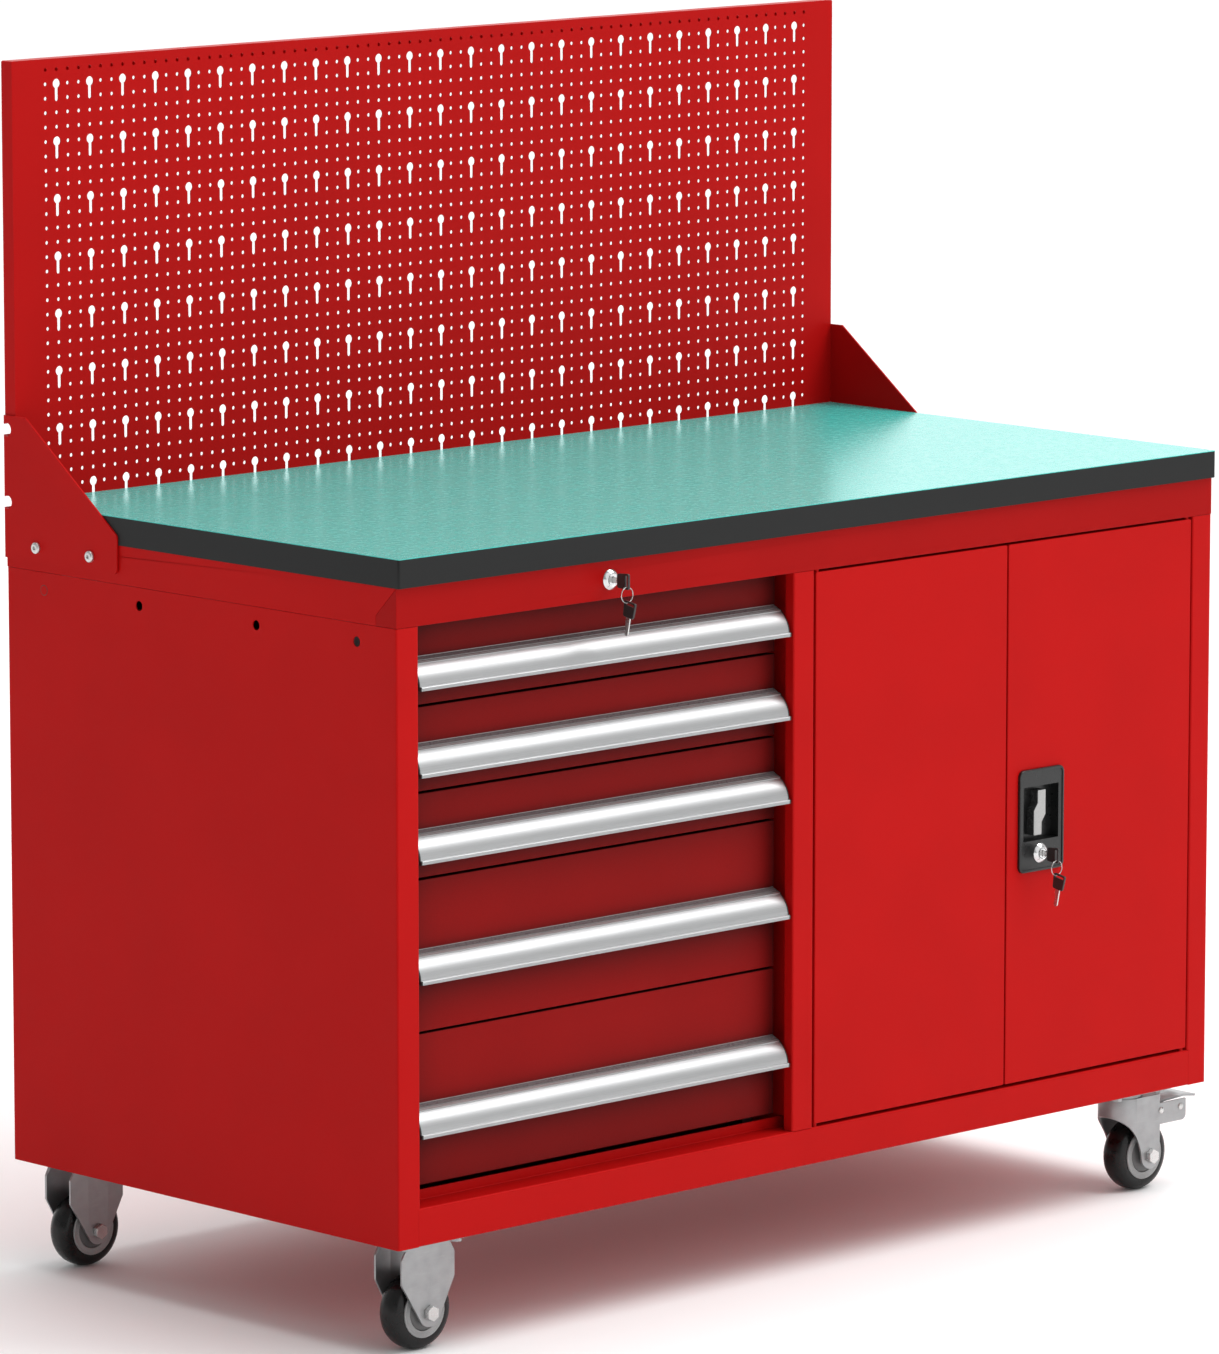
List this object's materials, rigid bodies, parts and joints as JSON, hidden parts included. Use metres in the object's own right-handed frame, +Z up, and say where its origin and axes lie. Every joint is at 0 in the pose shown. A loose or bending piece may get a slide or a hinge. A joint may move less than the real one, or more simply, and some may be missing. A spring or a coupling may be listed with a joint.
{
  "type": "mobile workbench with drawers",
  "caption": "Steel workshop bench on casters: drawers with full-width pulls, lockable two-door cupboard, edged worktop and a perforated tool board behind it.",
  "frame": {"origin": "on the floor under the middle of the bench's overall box", "axes": "+X along the bench towards the cupboard, -Y towards the front with the drawers and doors, +Z up"},
  "size_m": [1.5189, 0.7984, 1.5899],
  "materials": {
    "red_paint": "smooth red powder coat",
    "drawer_paint": "smooth red powder coat on the fronts and trays",
    "satin_aluminium": "satin anodised extrusion",
    "zinc_plated_steel": "pressed zinc-plated steel",
    "black_tread": "black polyurethane tread on a grey moulded hub",
    "chipboard": "dense chipboard core",
    "black_edging": "black edge band",
    "teal_surface": "glossy blue-green worktop surface",
    "bright_screws": "bright zinc screws and pins",
    "lock_chrome": "nickel-plated lock",
    "key_plastic": "key with a black moulded head",
    "lock_plastic": "glossy black moulded escutcheon",
    "lever_paint": "light grey face on a dark lever"
  },
  "bodies": {
    "bench": {"side_panel_left": "red_paint", "side_panel_right": "red_paint", "back_panel": "red_paint", "base_panel": "red_paint", "bottom_rail": "red_paint", "centre_divider": "red_paint", "apron_front": "red_paint", "apron_left": "red_paint", "apron_right": "red_paint", "apron_back": "red_paint", "worktop_board": "chipboard", "worktop_edging": "black_edging", "worktop_surface": "teal_surface", "pegboard": "red_paint", "pegboard_bracket_left": "red_paint", "pegboard_bracket_right": "red_paint", "bracket_screws": "bright_screws", "slide_channels": "zinc_plated_steel", "slide_uprights": "zinc_plated_steel", "cupboard_shelf": "red_paint", "drawer_lock_housing": "lock_chrome", "door_hinge_pins": "red_paint", "rigid_caster_fork_front": "zinc_plated_steel", "rigid_caster_fork_rear": "zinc_plated_steel", "swivel_caster_plates": "zinc_plated_steel"},
    "drawer_1": {"drawer_1_tray": "drawer_paint", "drawer_1_handle": "satin_aluminium"},
    "drawer_1_runner": {"drawer_1_slide": "zinc_plated_steel"},
    "drawer_2": {"drawer_2_tray": "drawer_paint", "drawer_2_handle": "satin_aluminium"},
    "drawer_2_runner": {"drawer_2_slide": "zinc_plated_steel"},
    "drawer_3": {"drawer_3_tray": "drawer_paint", "drawer_3_handle": "satin_aluminium"},
    "drawer_3_runner": {"drawer_3_slide": "zinc_plated_steel"},
    "drawer_4": {"drawer_4_tray": "drawer_paint", "drawer_4_handle": "satin_aluminium"},
    "drawer_4_runner": {"drawer_4_slide": "zinc_plated_steel"},
    "drawer_5": {"drawer_5_tray": "drawer_paint", "drawer_5_handle": "satin_aluminium"},
    "drawer_5_runner": {"drawer_5_slide": "zinc_plated_steel"},
    "door_left": {"door_left": "red_paint"},
    "door_right": {"door_right": "red_paint", "door_lock_plate": "lock_plastic"},
    "door_lever": {"door_lock_lever": "lever_paint", "door_latch_tongue": "zinc_plated_steel"},
    "door_cylinder": {"door_lock_barrel": "lock_chrome", "door_key": "key_plastic"},
    "door_spare": {"door_spare_key": "key_plastic"},
    "drawer_cylinder": {"drawer_lock_barrel": "lock_chrome", "drawer_key": "key_plastic"},
    "drawer_spare": {"drawer_spare_key": "key_plastic"},
    "lock_bar": {"drawer_lock_bar": "zinc_plated_steel"},
    "rigid_wheel_front": {"wheel_front_left": "black_tread"},
    "swivel_front": {"swivel_caster_fork_front": "zinc_plated_steel"},
    "swivel_wheel_front": {"wheel_front_right": "black_tread"},
    "pedal_front": {"brake_pedal_front": "zinc_plated_steel"},
    "rigid_wheel_rear": {"wheel_rear_left": "black_tread"},
    "swivel_rear": {"swivel_caster_fork_rear": "zinc_plated_steel"},
    "swivel_wheel_rear": {"wheel_rear_right": "black_tread"},
    "pedal_rear": {"brake_pedal_rear": "zinc_plated_steel"}
  },
  "joints": [
    {"name": "drawer_1_pull", "type": "slide", "parent": "bench", "child": "drawer_1", "axis": [0, -1, 0], "range_m": [0, 0.6]},
    {"name": "drawer_1_runner_travel", "type": "slide", "parent": "bench", "child": "drawer_1_runner", "axis": [0, -1, 0], "range_m": [0, 0.3]},
    {"name": "drawer_2_pull", "type": "slide", "parent": "bench", "child": "drawer_2", "axis": [0, -1, 0], "range_m": [0, 0.6]},
    {"name": "drawer_2_runner_travel", "type": "slide", "parent": "bench", "child": "drawer_2_runner", "axis": [0, -1, 0], "range_m": [0, 0.3]},
    {"name": "drawer_3_pull", "type": "slide", "parent": "bench", "child": "drawer_3", "axis": [0, -1, 0], "range_m": [0, 0.6]},
    {"name": "drawer_3_runner_travel", "type": "slide", "parent": "bench", "child": "drawer_3_runner", "axis": [0, -1, 0], "range_m": [0, 0.3]},
    {"name": "drawer_4_pull", "type": "slide", "parent": "bench", "child": "drawer_4", "axis": [0, -1, 0], "range_m": [0, 0.6]},
    {"name": "drawer_4_runner_travel", "type": "slide", "parent": "bench", "child": "drawer_4_runner", "axis": [0, -1, 0], "range_m": [0, 0.3]},
    {"name": "drawer_5_pull", "type": "slide", "parent": "bench", "child": "drawer_5", "axis": [0, -1, 0], "range_m": [0, 0.6]},
    {"name": "drawer_5_runner_travel", "type": "slide", "parent": "bench", "child": "drawer_5_runner", "axis": [0, -1, 0], "range_m": [0, 0.3]},
    {"name": "door_left_swing", "type": "hinge", "parent": "bench", "child": "door_left", "pos_m": [-0.0075, -0.349, 0.563], "axis": [0, 0, -1], "range_deg": [0, 90]},
    {"name": "door_right_swing", "type": "hinge", "parent": "bench", "child": "door_right", "pos_m": [0.7037, -0.349, 0.563], "axis": [0, 0, 1], "range_deg": [0, 110]},
    {"name": "door_lever_turn", "type": "hinge", "parent": "door_right", "child": "door_lever", "pos_m": [0.4116, -0.345, 0.5615], "axis": [0, -1, 0], "range_deg": [0, 90]},
    {"name": "door_key_turn", "type": "hinge", "parent": "door_right", "child": "door_cylinder", "pos_m": [0.4116, -0.35, 0.5069], "axis": [0, -1, 0], "range_deg": [0, 90]},
    {"name": "door_spare_swing", "type": "hinge", "parent": "door_cylinder", "child": "door_spare", "pos_m": [0.4116, -0.3877, 0.5001], "axis": [-1, 0, 0], "range_deg": [-20, 60]},
    {"name": "drawer_key_turn", "type": "hinge", "parent": "bench", "child": "drawer_cylinder", "pos_m": [-0.3825, -0.35, 0.9572], "axis": [0, -1, 0], "range_deg": [0, 90]},
    {"name": "drawer_spare_swing", "type": "hinge", "parent": "drawer_cylinder", "child": "drawer_spare", "pos_m": [-0.3825, -0.3844, 0.9504], "axis": [-1, 0, 0], "range_deg": [-20, 60]},
    {"name": "lock_bar_lift", "type": "slide", "parent": "bench", "child": "lock_bar", "axis": [0, 0, 1], "range_m": [0, 0.012]},
    {"name": "rigid_wheel_front_spin", "type": "hinge", "parent": "bench", "child": "rigid_wheel_front", "pos_m": [-0.6745, -0.301, 0.05], "axis": [0, 1, 0], "continuous": true},
    {"name": "swivel_front_turn", "type": "hinge", "parent": "bench", "child": "swivel_front", "pos_m": [0.636, -0.301, 0.1], "axis": [0, 0, 1], "continuous": true},
    {"name": "swivel_wheel_front_spin", "type": "hinge", "parent": "swivel_front", "child": "swivel_wheel_front", "pos_m": [0.6647, -0.301, 0.05], "axis": [0, 1, 0], "continuous": true},
    {"name": "pedal_front_press", "type": "hinge", "parent": "swivel_front", "child": "pedal_front", "pos_m": [0.685, -0.301, 0.1106], "axis": [0, 1, 0], "range_deg": [0, 10]},
    {"name": "rigid_wheel_rear_spin", "type": "hinge", "parent": "bench", "child": "rigid_wheel_rear", "pos_m": [-0.6745, 0.343, 0.05], "axis": [0, 1, 0], "continuous": true},
    {"name": "swivel_rear_turn", "type": "hinge", "parent": "bench", "child": "swivel_rear", "pos_m": [0.636, 0.343, 0.1], "axis": [0, 0, 1], "continuous": true},
    {"name": "swivel_wheel_rear_spin", "type": "hinge", "parent": "swivel_rear", "child": "swivel_wheel_rear", "pos_m": [0.6647, 0.343, 0.05], "axis": [0, 1, 0], "continuous": true},
    {"name": "pedal_rear_press", "type": "hinge", "parent": "swivel_rear", "child": "pedal_rear", "pos_m": [0.685, 0.343, 0.1106], "axis": [0, 1, 0], "range_deg": [0, 10]}
  ],
  "couplings": [
    {"joint": "drawer_1_runner_travel", "follows": "drawer_1_pull", "ratio": 0.5},
    {"joint": "drawer_2_runner_travel", "follows": "drawer_2_pull", "ratio": 0.5},
    {"joint": "drawer_3_runner_travel", "follows": "drawer_3_pull", "ratio": 0.5},
    {"joint": "drawer_4_runner_travel", "follows": "drawer_4_pull", "ratio": 0.5},
    {"joint": "drawer_5_runner_travel", "follows": "drawer_5_pull", "ratio": 0.5},
    {"joint": "drawer_key_turn", "follows": "lock_bar_lift", "rad_per_m": 130.89}
  ]
}
